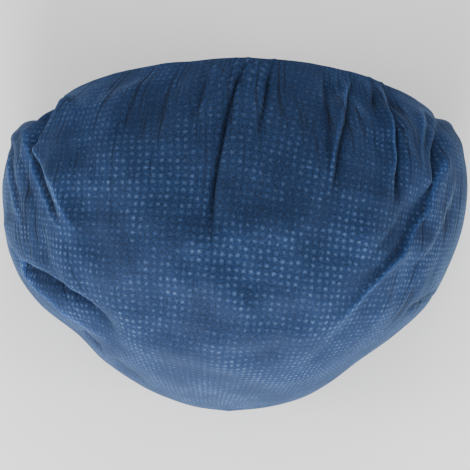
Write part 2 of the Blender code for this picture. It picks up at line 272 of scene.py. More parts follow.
@dataclass
class CapShape:
    """The cap's unfolded form: rings of cloth from the mouth to the crown's end."""

    width: float
    depth: float
    height: float
    mouth_width: float = 0.2286
    mouth_left: float = 0.958
    mouth_right: float = 1.042
    meridian: float = 0.262
    left_arch_power: float = 0.50
    right_arch_power: float = 0.75
    foot_softness: float = 0.0025
    corner_softness: float = 0.0040
    softest_share: float = 0.006
    upper_share: float = 0.72
    dense_steps: int = 4
    least_spacing: float = 1e-5

    def column(self, name: str, along: float) -> float:
        """Read one column of the sections on a smooth curve.

        Args:
            name: the column.
            along: the share of the meridian.

        Returns:
            The column's value there.
        """
        places = np.array([row.along for row in SECTIONS])
        values = np.array([getattr(row, name) for row in SECTIONS])
        slopes = np.gradient(values, places)
        index = int(np.clip(np.searchsorted(places, along) - 1, 0, len(places) - 2))
        span = places[index + 1] - places[index]
        share = (along - places[index]) / span
        start = values[index] * (1 + 2 * share) * (1 - share) ** 2
        end = values[index + 1] * (3 - 2 * share) * share**2
        bend = slopes[index] * share * (1 - share) ** 2 - slopes[index + 1] * (1 - share) * share**2
        return float(start + end + bend * span)

    def half_ring(self, row: dict[str, float], upper: bool, count: int) -> np.ndarray:
        """Space points evenly over the upper or the under half of one ring.

        Args:
            row: the section's values.
            upper: True for the half over the top, from right to left.
            count: how many points.

        Returns:
            The points, the last one left out.
        """
        half, mouth = self.width / 2, self.mouth_width / 2
        left = -mouth * self.mouth_left * (1 - row["spread"]) - half * row["left"] * row["spread"]
        right = mouth * self.mouth_right * (1 - row["spread"]) + half * row["right"] * row["spread"]
        turn = np.linspace(0.0, np.pi, self.dense_steps * count)
        across = np.cos(turn) if upper else -np.cos(turn)
        rise = (1 - np.abs(across) ** row["square"]).clip(0) ** (1 / row["square"])
        if upper:
            inner = np.clip(1 - (across / row["shoulder"]) ** 2, 0.0, 1.0)
            power = np.where(across < 0, self.left_arch_power, self.right_arch_power)
            down = row["side"] + (row["front"] - row["side"]) * inner**power
            high = row["waist"] + (row["top"] - row["waist"]) * rise
        else:
            down = row["side"] + (row["under"] - row["side"]) * np.sqrt((1 - across**2).clip(0))
            high = row["waist"] + (row["floor"] - row["waist"]) * rise
        x = (left + right) / 2 + (right - left) / 2 * across
        dense = np.stack((x, self.depth * (0.5 - down), self.height * high), axis=1)
        travelled = np.concatenate(([0.0], np.cumsum(np.linalg.norm(np.diff(dense, axis=0), axis=1))))
        wanted = np.linspace(0.0, travelled[-1], count + 1)[:-1]
        return np.stack([np.interp(wanted, travelled, dense[:, axis]) for axis in range(3)], axis=1)

    def ring(self, along: float, steps: int) -> np.ndarray:
        """Lay the points of the unfolded cloth round one section.

        Args:
            along: the share of the meridian.
            steps: how many points, the first in the middle of the underside.

        Returns:
            The ring's points, going to the right side, over the top and back.
        """
        row = {name: self.column(name, along) for name in Section.__dataclass_fields__}
        upper_steps = round(steps * self.upper_share)
        upper = self.half_ring(row, True, upper_steps)
        points = np.concatenate((upper, self.half_ring(row, False, steps - upper_steps)))
        spacing = np.linalg.norm(np.diff(points, axis=0), axis=1).mean()
        soft = min(self.corner_softness, spacing * steps * self.softest_share)
        for _ in range(round(2 * (soft / max(spacing, self.least_spacing)) ** 2)):
            points = (np.roll(points, 1, axis=0) + 2 * points + np.roll(points, -1, axis=0)) / 4
        height = points[:, 2]
        bent = (height + self.foot_softness) ** 2 / (4 * self.foot_softness)
        lifted = np.where(height > self.foot_softness, height, bent)
        points[:, 2] = np.where(height < -self.foot_softness, 0.0, lifted)
        return np.roll(points, (steps - upper_steps) // 2, axis=0)

    def rings(self, alongs: np.ndarray, steps: int) -> np.ndarray:
        """Stack the rings at each share of the meridian."""
        return np.stack([self.ring(float(along), steps) for along in alongs])


@dataclass
class ClothRelief:
    """The folds, gathers and small wrinkles that sink or raise the cloth."""

    shape: CapShape
    path_samples: int = 72
    curve_steps: int = 12
    reach_widths: float = 6.0
    edge_share: float = 0.25
    edge_held: float = 0.0040
    edge_free: float = 0.014
    end_free: float = 0.10
    pinch: float = 0.72
    widest_pinch: float = 0.0028
    pinch_widths: float = 1.3
    line_width: float = 0.0013
    softest_line: float = 0.0024
    full_line: float = 2.0
    streak_fade: float = 0.50
    streak_rest: float = 0.12
    flank_start: float = 0.30
    flank_span: float = 0.45
    depth_gain: float = 1.35
    gather_depth: float = 0.0040
    gather_count: int = 46
    gather_reach: float = 0.16
    wrinkle_depth: float = 0.00022
    wrinkle_waves: int = 40
    wrinkle_lengths: tuple[float, float] = (0.010, 0.060)
    middle_length: float = 0.030
    facing_up: Lean = Lean(2.2, 0.55)
    not_hidden: Lean = Lean(2.5, 1.5)
    level: Lean = Lean(2.0, -0.7)
    wanders: tuple[tuple[float, int, float], ...] = ((0.35, 5, 1.0), (0.22, 11, 2.0))
    seed: int = 7

    def path(self, fold: Fold) -> np.ndarray:
        """Trace a fold's curve in plan on a smooth curve through its points.

        Args:
            fold: the fold.

        Returns:
            The curve's points, evenly spaced, in metres.
        """
        points = np.array(fold.points) * MILLIMETRE
        ends = (2 * points[:1] - points[1:2], points, 2 * points[-1:] - points[-2:-1])
        held = np.concatenate(ends)
        share = np.linspace(0.0, 1.0, self.curve_steps, endpoint=False)[:, None]
        runs = []
        for before, start, end, after in zip(held, held[1:], held[2:], held[3:]):
            bend = 2 * before - 5 * start + 4 * end - after
            twist = 3 * (start - end) + after - before
            runs.append(start + (end - before) * share / 2 + (bend * share**2 + twist * share**3) / 2)
        dense = np.concatenate(runs + [points[-1:]])
        travelled = np.concatenate(([0.0], np.cumsum(np.linalg.norm(np.diff(dense, axis=0), axis=1))))
        wanted = np.linspace(0.0, travelled[-1], self.path_samples)
        return np.stack([np.interp(wanted, travelled, dense[:, axis]) for axis in range(2)], axis=1)

    def fold(self, fold: Fold, points: np.ndarray) -> tuple[np.ndarray, np.ndarray, np.ndarray]:
        """Work out how far one fold sinks the cloth and pinches it together.

        Args:
            fold: the fold.
            points: the cloth's grid of points.

        Returns:
            How far each point sinks, its shift in plan, in metres, and how
            much it lies on a sharp bottom or crest, from 0 to 1.
        """
        path = self.path(fold)
        start, step = path[:-1], np.diff(path, axis=0)
        length = np.einsum("ij,ij->i", step, step)
        reach = self.reach_widths * max(fold.low_width, fold.high_width) * MILLIMETRE
        flat = points[..., :2].reshape(-1, 2)
        near = np.all((flat > path.min(axis=0) - reach) & (flat < path.max(axis=0) + reach), axis=1)
        sunk, shift, line = np.zeros(len(flat)), np.zeros((len(flat), 3)), np.zeros(len(flat))
        away = flat[near, None] - start
        share = np.clip(np.einsum("ijk,jk->ij", away, step) / length, 0.0, 1.0)
        off = away - share[..., None] * step
        distance = np.linalg.norm(off, axis=2)
        nearest = distance.argmin(axis=1)
        pick = (np.arange(len(nearest)), nearest)
        cross = step[nearest, 0] * off[pick][:, 1] - step[nearest, 1] * off[pick][:, 0]
        width = np.where(cross > 0, fold.high_width, fold.low_width) * MILLIMETRE
        soft = fold.softness * MILLIMETRE
        profile = np.exp(-(np.sqrt(distance[pick] ** 2 + soft**2) - soft) / width)
        along = (nearest + share[pick]) / len(step)
        strength = smoothstep(along / fold.rise) * smoothstep((1 - along) / fold.fall)
        sunk[near] = fold.depth * MILLIMETRE * profile * strength
        grip = self.pinch * smoothstep((self.widest_pinch - soft) / self.widest_pinch)
        pinch = grip * strength * np.exp(-((distance[pick] / (self.pinch_widths * width)) ** 2))
        shift[near, :2] = -off[pick] * pinch[:, None]
        sharp = smoothstep((self.softest_line - soft) / self.softest_line)
        sharp *= min(1.0, abs(fold.depth) / self.full_line)
        line[near] = sharp * strength * np.exp(-((distance[pick] / self.line_width) ** 2))
        grid = points.shape[:2]
        return sunk.reshape(grid), shift.reshape(points.shape), line.reshape(grid)

    def wrinkles(self, sheet: np.ndarray) -> np.ndarray:
        """Small random swells over the whole cloth.

        Args:
            sheet: each point's place on the flat sheet, in metres.

        Returns:
            How far each point sinks, in metres.
        """
        chance = np.random.default_rng(self.seed)
        total = np.zeros(sheet.shape[:2])
        for _ in range(self.wrinkle_waves):
            angle, phase = chance.uniform(0, np.pi), chance.uniform(0, 2 * np.pi)
            length = chance.uniform(*self.wrinkle_lengths)
            wave = (sheet[..., 0] * np.cos(angle) + sheet[..., 1] * np.sin(angle)) / length
            total += np.sin(2 * np.pi * wave + phase) * length / self.middle_length
        return total * self.wrinkle_depth

    def apply(
        self, points: np.ndarray, alongs: np.ndarray, sheet: np.ndarray
    ) -> tuple[np.ndarray, np.ndarray]:
        """Fold the smooth cloth.

        Args:
            points: the unfolded cloth's grid of points.
            alongs: the share of the meridian of each row.
            sheet: each point's place on the flat sheet, in metres.

        Returns:
            The folded cloth's grid of points, and two values for each: how
            much it lies on a sharp crest, or below 0 in a sharp hollow, and
            how strongly fine gathers streak it.
        """
        normals = surface_normals(points)
        upward = self.facing_up.of(normals)
        edge = (alongs * self.shape.meridian - self.edge_held) / self.edge_free
        freedom = (self.edge_share + (1 - self.edge_share) * smoothstep(edge))[:, None]
        ending = smoothstep((1.0 - alongs) / self.end_free)[:, None]
        sunk, shift, lines = np.zeros(upward.shape), np.zeros(points.shape), np.zeros(upward.shape)
        for fold in FOLDS:
            depth, pull, line = self.fold(fold, points)
            sunk += depth * self.depth_gain
            shift += pull
            # The crest and hollow marks only serve the material's painted highlight on sharp crests and
            # painted shade in sharp hollows.
            signed = -np.sign(fold.depth) * line
            lines = np.where(np.abs(signed) > np.abs(lines), signed, lines)
        turn = np.arange(points.shape[1]) / points.shape[1]
        wander = sum(
            size * np.sin(2 * np.pi * waves * turn + start) for size, waves, start in self.wanders
        )
        wave = 0.5 - 0.5 * np.cos(2 * np.pi * (self.gather_count * turn + wander))
        hidden = 1 - self.not_hidden.of(normals)
        fade = np.exp(-alongs / self.gather_reach)[:, None]
        gathers = self.gather_depth * wave * hidden * fade
        small = self.wrinkles(sheet) * self.level.of(normals)
        total = (sunk * upward + gathers + small) * freedom * ending
        resting = points[..., 2] <= 0.0
        folded = points - normals * total[..., None] + shift * (upward * freedom * ending)[..., None]
        folded[..., 2] = np.where(resting, 0.0, np.maximum(folded[..., 2], 0.0))
        # The second value, the streaks' strength, drives a bump and painted shade along the streaks in the
        # cloth's colour.
        hem = 1 - (1 - self.streak_rest) * smoothstep(alongs / self.streak_fade)[:, None]
        flank = smoothstep((np.abs(normals[..., 0]) - self.flank_start) / self.flank_span)
        return folded, np.stack((lines * upward * freedom * ending, np.maximum(hem, flank)), axis=-1)


@dataclass
class SheetLayout:
    """The cloth laid flat, so that its pattern runs true over the cap."""

    shape: CapShape
    columns: int = 60
    rows: int = 30
    reach: float = 0.985
    passes: int = 40
    eased: int = 10
    hem_rows: int = 4
    hidden_weight: float = 0.05
    reference_row: float = 0.40
    lattice_turn: float = -0.09
    take_up_start: float = 0.060
    take_up_span: float = 0.055
    take_up: float = 0.80
    take_up_samples: int = 400
    slope_rows: int = 2
    aim_rows: int = 3
    seen: Lean = Lean(2.0, 0.5)
    hold_range: tuple[float, float] = (0.02, 8.0)
    steadying: float = 1e-9

    def corners(self) -> np.ndarray:
        """List the three grid places of each triangle of the coarse sheet."""
        place = np.arange((self.rows + 1) * (self.columns + 1)).reshape(self.rows + 1, -1)
        a, b, c, d = place[:-1, :-1], place[:-1, 1:], place[1:, 1:], place[1:, :-1]
        first = np.stack((a, b, c), axis=-1).reshape(-1, 3)
        second = np.stack((a, c, d), axis=-1).reshape(-1, 3)
        return np.concatenate((first, second))

    def lay_flat(self) -> np.ndarray:
        """Spread the cloth in a plane, keeping its seen triangles as rigid as can be.

        Returns:
            The flat place of each row and column, with one column more than
            the grid, because the sheet is slit along the underside.
        """
        alongs = np.linspace(0.0, self.reach, self.rows + 1)
        solid = self.shape.rings(alongs, self.columns)
        seen = self.seen.of(surface_normals(solid))
        solid = np.concatenate((solid, solid[:, :1]), axis=1)
        seen = np.concatenate((seen, seen[:, :1]), axis=1).reshape(-1)
        corners = self.corners()
        points = solid.reshape(-1, 3)[corners]
        first, second = points[:, 1] - points[:, 0], points[:, 2] - points[:, 0]
        base = np.linalg.norm(first, axis=1)
        along = np.einsum("ij,ij->i", first, second) / base
        aside = np.linalg.norm(np.cross(first, second), axis=1) / base
        local = np.zeros((len(corners), 3, 2))
        local[:, 1, 0], local[:, 2, 0], local[:, 2, 1] = base, along, aside
        weight = self.hidden_weight + (1 - self.hidden_weight) * seen[corners].mean(axis=1)
        turn = (np.arange(self.columns + 1) / self.columns - 0.5) * 2 * np.pi
        radius = self.shape.meridian * (1.0 - alongs)[:, None]
        flat = np.stack((radius * np.sin(turn), radius * np.cos(turn)), axis=2).reshape(-1, 2)
        grip, pull = np.zeros((len(flat), len(flat))), []
        for near, far, top in ((0, 1, 2), (1, 2, 0), (2, 0, 1)):
            left, right = local[:, near] - local[:, top], local[:, far] - local[:, top]
            area = left[:, 0] * right[:, 1] - left[:, 1] * right[:, 0]
            hold = np.clip(np.einsum("ij,ij->i", left, right) / area, *self.hold_range) * weight
            start, end = corners[:, near], corners[:, far]
            np.add.at(grip, (start, start), hold)
            np.add.at(grip, (end, end), hold)
            np.add.at(grip, (start, end), -hold)
            np.add.at(grip, (end, start), -hold)
            pull.append((start, end, hold, local[:, near] - local[:, far]))
        steady = np.eye(len(flat)) * self.steadying * np.trace(grip) / len(flat)
        flat = self.relaxed(flat, len(corners), pull, np.linalg.inv(grip + steady))
        return self.widened(self.straightened(flat.reshape(self.rows + 1, self.columns + 1, 2)))

    def relaxed(
        self, flat: np.ndarray, count: int, pull: list[tuple[np.ndarray, ...]], solve: np.ndarray
    ) -> np.ndarray:
        """Turn each triangle to its best fit and settle the corners, again and again.

        Args:
            flat: the first guess of the corners' places.
            count: how many triangles there are.
            pull: for each side of the triangles its start, end, hold and own direction.
            solve: the inverse of how the corners hold each other.

        Returns:
            The settled places.
        """
        for _ in range(self.passes):
            cosine, sine = np.zeros(count), np.zeros(count)
            for start, end, hold, rest in pull:
                now = flat[start] - flat[end]
                cosine += hold * (now[:, 0] * rest[:, 0] + now[:, 1] * rest[:, 1])
                sine += hold * (now[:, 1] * rest[:, 0] - now[:, 0] * rest[:, 1])
            size = np.maximum(np.hypot(cosine, sine), TINY)
            cosine, sine = cosine / size, sine / size
            load = np.zeros(flat.shape)
            for start, end, hold, rest in pull:
                across = cosine * rest[:, 0] - sine * rest[:, 1]
                turned = np.stack((across, sine * rest[:, 0] + cosine * rest[:, 1]), 1)
                np.add.at(load, start, hold[:, None] * turned)
                np.add.at(load, end, -hold[:, None] * turned)
            flat = solve @ load
        return flat

    def straightened(self, flat: np.ndarray) -> np.ndarray:
        """Even out the layout, carry it on to the hem and turn its rows of points true.

        Args:
            flat: the settled layout.

        Returns:
            The layout, from the middle of the upper side.
        """
        step = (flat[self.hem_rows] - flat[self.hem_rows + self.slope_rows]) / self.slope_rows
        for row in range(self.hem_rows):
            flat[row] = flat[self.hem_rows] + step * (self.hem_rows - row)
        for _ in range(self.eased):
            beside = (flat[:-2, 1:-1] + flat[2:, 1:-1] + flat[1:-1, :-2] + flat[1:-1, 2:]) / 4
            flat[1:-1, 1:-1] = (flat[1:-1, 1:-1] + beside) / 2
        middle, row = self.columns // 2, round(self.rows * self.reference_row)
        down = flat[row + self.aim_rows, middle] - flat[row - self.aim_rows, middle]
        angle = np.arctan2(down[0], -down[1]) + self.lattice_turn
        turned = np.array(((np.cos(angle), -np.sin(angle)), (np.sin(angle), np.cos(angle))))
        return (flat - flat[row, middle]) @ turned

    def widened(self, flat: np.ndarray) -> np.ndarray:
        """Widen the sheet outwards by the cloth that the smallest crumples take up.

        Args:
            flat: the places on the sheet, from the middle of the upper side.

        Returns:
            The places on the whole sheet.
        """
        radius = np.linalg.norm(flat, axis=2, keepdims=True)
        line = np.linspace(0.0, radius.max(), self.take_up_samples)
        rate = self.take_up * smoothstep((line - self.take_up_start) / self.take_up_span)
        further = np.interp(radius, line, np.cumsum(rate) * line[1])
        return flat * (1.0 + further / np.maximum(radius, line[1]))

    def spread_to(self, flat: np.ndarray, alongs: np.ndarray, columns: int) -> np.ndarray:
        """Read the flat layout at a finer grid.

        Args:
            flat: the layout from lay_flat.
            alongs: the share of the meridian of each fine row.
            columns: how many fine columns, without the doubled one.

        Returns:
            The flat place of each fine row and column.
        """
        pole = np.repeat(flat[-1:].mean(axis=1, keepdims=True), flat.shape[1], axis=1)
        places = np.concatenate((np.linspace(0.0, self.reach, self.rows + 1), [1.0]))
        held = np.concatenate((flat, pole))
        across = np.linspace(0.0, 1.0, flat.shape[1])
        wanted = np.linspace(0.0, 1.0, columns + 1)
        wide = np.stack([[np.interp(wanted, across, row[:, axis]) for axis in range(2)] for row in held])
        fine = np.empty((len(alongs), columns + 1, 2))
        index = np.clip(np.searchsorted(places, alongs, side="right") - 1, 0, len(places) - 2)
        share = ((alongs - places[index]) / (places[index + 1] - places[index]))[:, None]
        for axis in range(2):
            fine[..., axis] = wide[index, axis] * (1 - share) + wide[index + 1, axis] * share
        return fine


def cloth_object(
    name: str, rows: np.ndarray, sheet: np.ndarray, alongs: np.ndarray, lines: np.ndarray
) -> bpy.types.Object:
    """Bend a grid of faces into a tube of cloth and weld its seam.

    Args:
        name: the object's name.
        rows: the tube's points, a row for each ring.
        sheet: each point's place on the flat sheet, with one column more.
        alongs: the share of the meridian of each row.
        lines: each point's crest or hollow, and its strength of streaks.

    Returns:
        The new object, with the UV maps Sheet, the place on the flat sheet,
        Gathers, the share round the cap and the share of the meridian, and
        Lines, the crests and hollows, which the material turns into a painted
        highlight and painted shade, and the strength of the streaks.
    """
    row_count, steps = rows.shape[:2]
    mesh = bmesh.new()
    bmesh.ops.create_grid(mesh, x_segments=steps, y_segments=row_count - 1, size=0.5)
    places = [
        (round((vertex.co.y + 0.5) * (row_count - 1)), round((vertex.co.x + 0.5) * steps))
        for vertex in mesh.verts
    ]
    layer = mesh.loops.layers.uv.new("Sheet")
    gathers = mesh.loops.layers.uv.new("Gathers")
    marks = mesh.loops.layers.uv.new("Lines")
    for face in mesh.faces:
        face.smooth = True
        for loop in face.loops:
            row, column = places[loop.vert.index]
            loop[layer].uv = sheet[row, column]
            loop[gathers].uv = (column / steps, alongs[row])
            loop[marks].uv = lines[row, column % steps]
    for vertex, (row, column) in zip(mesh.verts, places):
        vertex.co = rows[row, column % steps]
    bmesh.ops.remove_doubles(mesh, verts=mesh.verts, dist=WELD_DISTANCE)
    data = bpy.data.meshes.new(name)
    mesh.to_mesh(data)
    mesh.free()
    made = bpy.data.objects.new(name, data)
    bpy.context.scene.collection.objects.link(made)
    return made


@dataclass(frozen=True)
class NoiseLook:
    """How coarse a noise is, and the part of its range that is spread out."""

    scale: float
    detail: float
    roughness: float
    low: float = 0.0
    high: float = 1.0


class NodeSheet:
    """A short hand for building one material's or group's nodes."""

    def __init__(self, tree: bpy.types.NodeTree) -> None:
        """Keep the tree that the nodes go in."""
        self.tree = tree

    def feed(self, node: bpy.types.Node, inputs: dict[str | int, object]) -> None:
        """Link or set some inputs of a node.

        Args:
            node: the node.
            inputs: an output to link, or a plain value, for each input's name or place.
        """
        for place, source in inputs.items():
            if isinstance(source, bpy.types.NodeSocket):
                self.tree.links.new(source, node.inputs[place])
            else:
                node.inputs[place].default_value = source

    def add(self, kind: str, inputs: dict[str | int, object], **settings: object) -> bpy.types.Node:
        """Add a node, set its properties and feed its inputs.

        Args:
            kind: the node's type.
            inputs: an output or a plain value for each input's name or place.
            settings: the properties by name.

        Returns:
            The node.
        """
        made = self.tree.nodes.new(kind)
        for name, value in settings.items():
            setattr(made, name, value)
        self.feed(made, inputs)
        return made

    def math(self, operation: str, *inputs: object) -> bpy.types.NodeSocket:
        """Add a Math node and return its result."""
        return self.add("ShaderNodeMath", dict(enumerate(inputs)), operation=operation).outputs[0]

    def vector(self, operation: str, *inputs: object) -> bpy.types.NodeSocket:
        """Add a Vector Math node and return its vector."""
        return self.add("ShaderNodeVectorMath", dict(enumerate(inputs)), operation=operation).outputs[0]

    def part(self, vector: object, axis: str) -> bpy.types.NodeSocket:
        """Take the X, Y or Z of a vector."""
        return self.add("ShaderNodeSeparateXYZ", {0: vector}).outputs[axis]

    def noise(self, vector: object, look: NoiseLook) -> bpy.types.NodeSocket:
        """Add a Noise texture and return its factor."""
        sizes = {"Scale": look.scale, "Detail": look.detail, "Roughness": look.roughness}
        return self.add("ShaderNodeTexNoise", {"Vector": vector, **sizes}).outputs["Fac"]

    def ramp(self, value: object, *ends: object) -> bpy.types.NodeSocket:
        """Map a value smoothly from the range of the first two ends to that of the last two."""
        inputs = dict(zip(("Value", "From Min", "From Max", "To Min", "To Max"), (value, *ends)))
        return self.add("ShaderNodeMapRange", inputs, interpolation_type="SMOOTHSTEP").outputs["Result"]

    def mix(self, factor: object, first: object, second: object, blend: str = "MIX") -> bpy.types.NodeSocket:
        """Mix two colours, which a Mix node takes at its places 6 and 7 and gives at 2."""
        inputs = {0: factor, 6: first, 7: second}
        return self.add("ShaderNodeMix", inputs, data_type="RGBA", blend_type=blend).outputs[2]

    def bump(self, height: object, strength: float, distance: float) -> bpy.types.NodeSocket:
        """Turn a height into a normal."""
        inputs = {"Height": height, "Strength": strength, "Distance": distance}
        return self.add("ShaderNodeBump", inputs).outputs["Normal"]


def new_material(name: str) -> tuple[bpy.types.Material, NodeSheet, bpy.types.Node]:
    """Start a material.

    Args:
        name: the material's name.

    Returns:
        The material, its nodes and its Principled BSDF.
    """
    finish = bpy.data.materials.new(name)
    finish.use_nodes = True
    return finish, NodeSheet(finish.node_tree), finish.node_tree.nodes["Principled BSDF"]


@dataclass(frozen=True)
class BondedCloth:
    """A nonwoven web with a square grid of bond points, as a node group.

    Sizes of a point are shares of the spacing. The light pairs are the
    faintest and the clearest that patches and single points show.
    """

    name: str = "bonded_cloth"
    points_per_metre: float = 252.0
    point_size: float = 0.19
    point_softness: float = 0.25
    jog: float = 0.22
    patch: NoiseLook = NoiseLook(24.0, 3.0, 0.6, 0.38, 0.62)
    patch_light: tuple[float, float] = (0.22, 1.08)
    single_light: tuple[float, float] = (0.40, 1.20)
    hem_light: float = 0.54
    hem_reach: float = 0.42
    tone: NoiseLook = NoiseLook(24.0, 3.0, 0.55, 0.32, 0.68)
    grain: NoiseLook = NoiseLook(900.0, 3.0, 0.7, 0.34, 0.66)
    streak_waves: tuple[float, float, float] = (210.0, 4.5, 0.0)
    streaks: NoiseLook = NoiseLook(1.0, 1.5, 0.5, 0.52, 0.70)
    crease_height: float = -3.2
    grain_height: float = 0.8

    def name_sockets(self, group: bpy.types.NodeTree) -> None:
        """Name the group's inputs and outputs.

        Args:
            group: the new group.
        """
        face = group.interface
        sizes = {
            "Points per metre": self.points_per_metre,
            "Point size": self.point_size,
            "Point softness": self.point_softness,
        }
        for name in ("Place", "Gathers", "Lines"):
            face.new_socket(name, in_out="INPUT", socket_type="NodeSocketVector")
        for name, value in sizes.items():
            face.new_socket(name, in_out="INPUT", socket_type="NodeSocketFloat").default_value = value
        for name in ("Points", "Tone", "Grain", "Creases", "Hollow", "Crest", "Height"):
            face.new_socket(name, in_out="OUTPUT", socket_type="NodeSocketFloat")

    def draw_points(
        self, nodes: NodeSheet, given: bpy.types.Node
    ) -> tuple[bpy.types.NodeSocket, bpy.types.NodeSocket]:
        """Draw the bond points, each a little out of place and with its own strength.

        Args:
            nodes: the group's nodes.
            given: the group's input node.

        Returns:
            Where the points are, and how clearly each shows.
        """
        place = given.outputs["Place"]
        scale = {0: place, "Scale": given.outputs["Points per metre"]}
        counted = nodes.add("ShaderNodeVectorMath", scale, operation="SCALE").outputs[0]
        cell = {"Vector": nodes.vector("FLOOR", counted)}
        chance = nodes.add("ShaderNodeTexWhiteNoise", cell, noise_dimensions="2D")
        middle = -0.5 - self.jog / 2
        reach, start = (self.jog, self.jog, 0.0), (middle, middle, 0.0)
        jog = nodes.vector("MULTIPLY_ADD", chance.outputs["Color"], reach, start)
        inside = nodes.vector("ADD", nodes.vector("FRACTION", counted), jog)
        flat = {0: nodes.vector("MULTIPLY", inside, (1.0, 1.0, 0.0))}
        distance = nodes.add("ShaderNodeVectorMath", flat, operation="LENGTH").outputs["Value"]
        edge = nodes.math("ADD", given.outputs["Point size"], given.outputs["Point softness"])
        inner = nodes.math("SUBTRACT", given.outputs["Point size"], given.outputs["Point softness"])
        points = nodes.ramp(distance, edge, inner, 0.0, 1.0)
        patch = nodes.noise(place, self.patch)
        patch = nodes.ramp(patch, self.patch.low, self.patch.high, *self.patch_light)
        single = nodes.ramp(chance.outputs["Value"], 0.0, 1.0, *self.single_light)
        from_hem = nodes.part(given.outputs["Gathers"], "Y")
        faded = nodes.ramp(from_hem, 0.0, self.hem_reach, self.hem_light, 1.0)
        clear = nodes.math("MULTIPLY", patch, faded)
        return points, nodes.math("MULTIPLY", nodes.math("MULTIPLY", points, clear), single)

    def build(self) -> bpy.types.NodeTree:
        """Make the group.

        Returns:
            The group. Place is the place on the flat sheet in metres, Gathers
            the share round the cap and from the hem on, and Lines the crests
            and the strength of the streaks. It puts out masks and a height.
        """
        group = bpy.data.node_groups.new(self.name, "ShaderNodeTree")
        self.name_sockets(group)
        nodes = NodeSheet(group)
        given = nodes.add("NodeGroupInput", {})
        place, marks = given.outputs["Place"], given.outputs["Lines"]
        points, shown = self.draw_points(nodes, given)
        tone = nodes.ramp(nodes.noise(place, self.tone), self.tone.low, self.tone.high, 0.0, 1.0)
        grain = nodes.noise(place, self.grain)
        drawn = nodes.vector("MULTIPLY", given.outputs["Gathers"], self.streak_waves)
        streaks = nodes.noise(drawn, self.streaks)
        streaks = nodes.ramp(streaks, self.streaks.low, self.streaks.high, 0.0, 1.0)
        # Creases drives a bump and, in the material, painted shade along the streaks.
        creases = nodes.math("MULTIPLY", streaks, nodes.part(marks, "Y"))
        # Crest and Hollow are masks for a painted highlight on sharp crests and painted shade in sharp
        # hollows.
        crest = nodes.part(marks, "X")
        hollow = nodes.math("MULTIPLY", crest, -1.0)
        sunk = nodes.math("MULTIPLY_ADD", points, -1.0, nodes.math("MULTIPLY", creases, self.crease_height))
        outputs = {
            "Points": shown,
            "Tone": tone,
            "Grain": nodes.ramp(grain, self.grain.low, self.grain.high, 0.0, 1.0),
            "Creases": creases,
            "Hollow": nodes.math("MAXIMUM", hollow, 0.0),
            "Crest": nodes.math("MAXIMUM", crest, 0.0),
            "Height": nodes.math("MULTIPLY_ADD", grain, self.grain_height, sunk),
        }
        nodes.add("NodeGroupOutput", outputs)
        return group


@dataclass(frozen=True)
class NonwovenFinish:
    """Thin point-bonded nonwoven with a soft fuzzy surface, with painted shade in its creases and hollows
    and a painted highlight on its crests.
    """

    name: str
    web: tuple[float, float, float, float]
    web_light: tuple[float, float, float, float]
    points: tuple[float, float, float, float]
    sheen: tuple[float, float, float, float]
    sheen_weight: float
    points_per_metre: float = 252.0
    grain: float = 0.40
    # Painted shade: crease_shade darkens the colour along the fine crease streaks.
    crease_shade: float = 0.46
    # Painted shade and painted highlight: hollow_shade darkens sharp fold hollows, crest_light lightens
    # sharp fold crests.
    hollow_shade: float = 0.78
    crest_light: float = 1.6
    web_roughness: float = 0.85
    point_roughness: float = 0.60
    bump_strength: float = 0.6
    bump_distance: float = 0.00025
    specular: float = 0.25
    sheen_roughness: float = 0.35

    def build(self, group: bpy.types.NodeTree) -> bpy.types.Material:
        """Make the material around the shared cloth group.

        Args:
            group: the node group of the bonded web.

        Returns:
            The material.
        """
        finish, nodes, shader = new_material(self.name)
        places = {"Points per metre": self.points_per_metre}
        for name, uv_map in (("Place", "Sheet"), ("Gathers", "Gathers"), ("Lines", "Lines")):
            places[name] = nodes.add("ShaderNodeUVMap", {}, uv_map=uv_map).outputs["UV"]
        cloth = nodes.add("ShaderNodeGroup", {}, node_tree=group)
        nodes.feed(cloth, places)
        shown = cloth.outputs["Points"]
        web = nodes.mix(cloth.outputs["Tone"], self.web, self.web_light)
        dotted = nodes.mix(shown, web, self.points)
        grain_tone = nodes.ramp(cloth.outputs["Grain"], 0.0, 1.0, 1.0 - self.grain, 1.0 + self.grain)
        # Painted shade along the fine crease streaks.
        sunk = nodes.ramp(cloth.outputs["Creases"], 0.0, 1.0, 1.0, 1.0 - self.crease_shade)
        # Painted shade in sharp fold hollows and a painted highlight on sharp fold crests.
        hollow = nodes.math("MULTIPLY_ADD", cloth.outputs["Hollow"], -self.hollow_shade, 1.0)
        crest = nodes.math("MULTIPLY_ADD", cloth.outputs["Crest"], self.crest_light, 1.0)
        lines = nodes.math("MULTIPLY", hollow, crest)
        # Grain tone times the painted shade and painted highlight, multiplied into the colour.
        whole = nodes.math("MULTIPLY", nodes.math("MULTIPLY", grain_tone, sunk), lines)
        channels = dict.fromkeys(("Red", "Green", "Blue"), whole)
        grain_and_painted_shading = nodes.add("ShaderNodeCombineColor", channels).outputs[0]
        nodes.feed(shader, {
            "Base Color": nodes.mix(1.0, dotted, grain_and_painted_shading, "MULTIPLY"),
            "Roughness": nodes.ramp(shown, 0.0, 1.0, self.web_roughness, self.point_roughness),
            "Normal": nodes.bump(cloth.outputs["Height"], self.bump_strength, self.bump_distance),
            "Specular IOR Level": self.specular,
            "Sheen Weight": self.sheen_weight,
            "Sheen Roughness": self.sheen_roughness,
            "Sheen Tint": self.sheen,
        })
        return finish


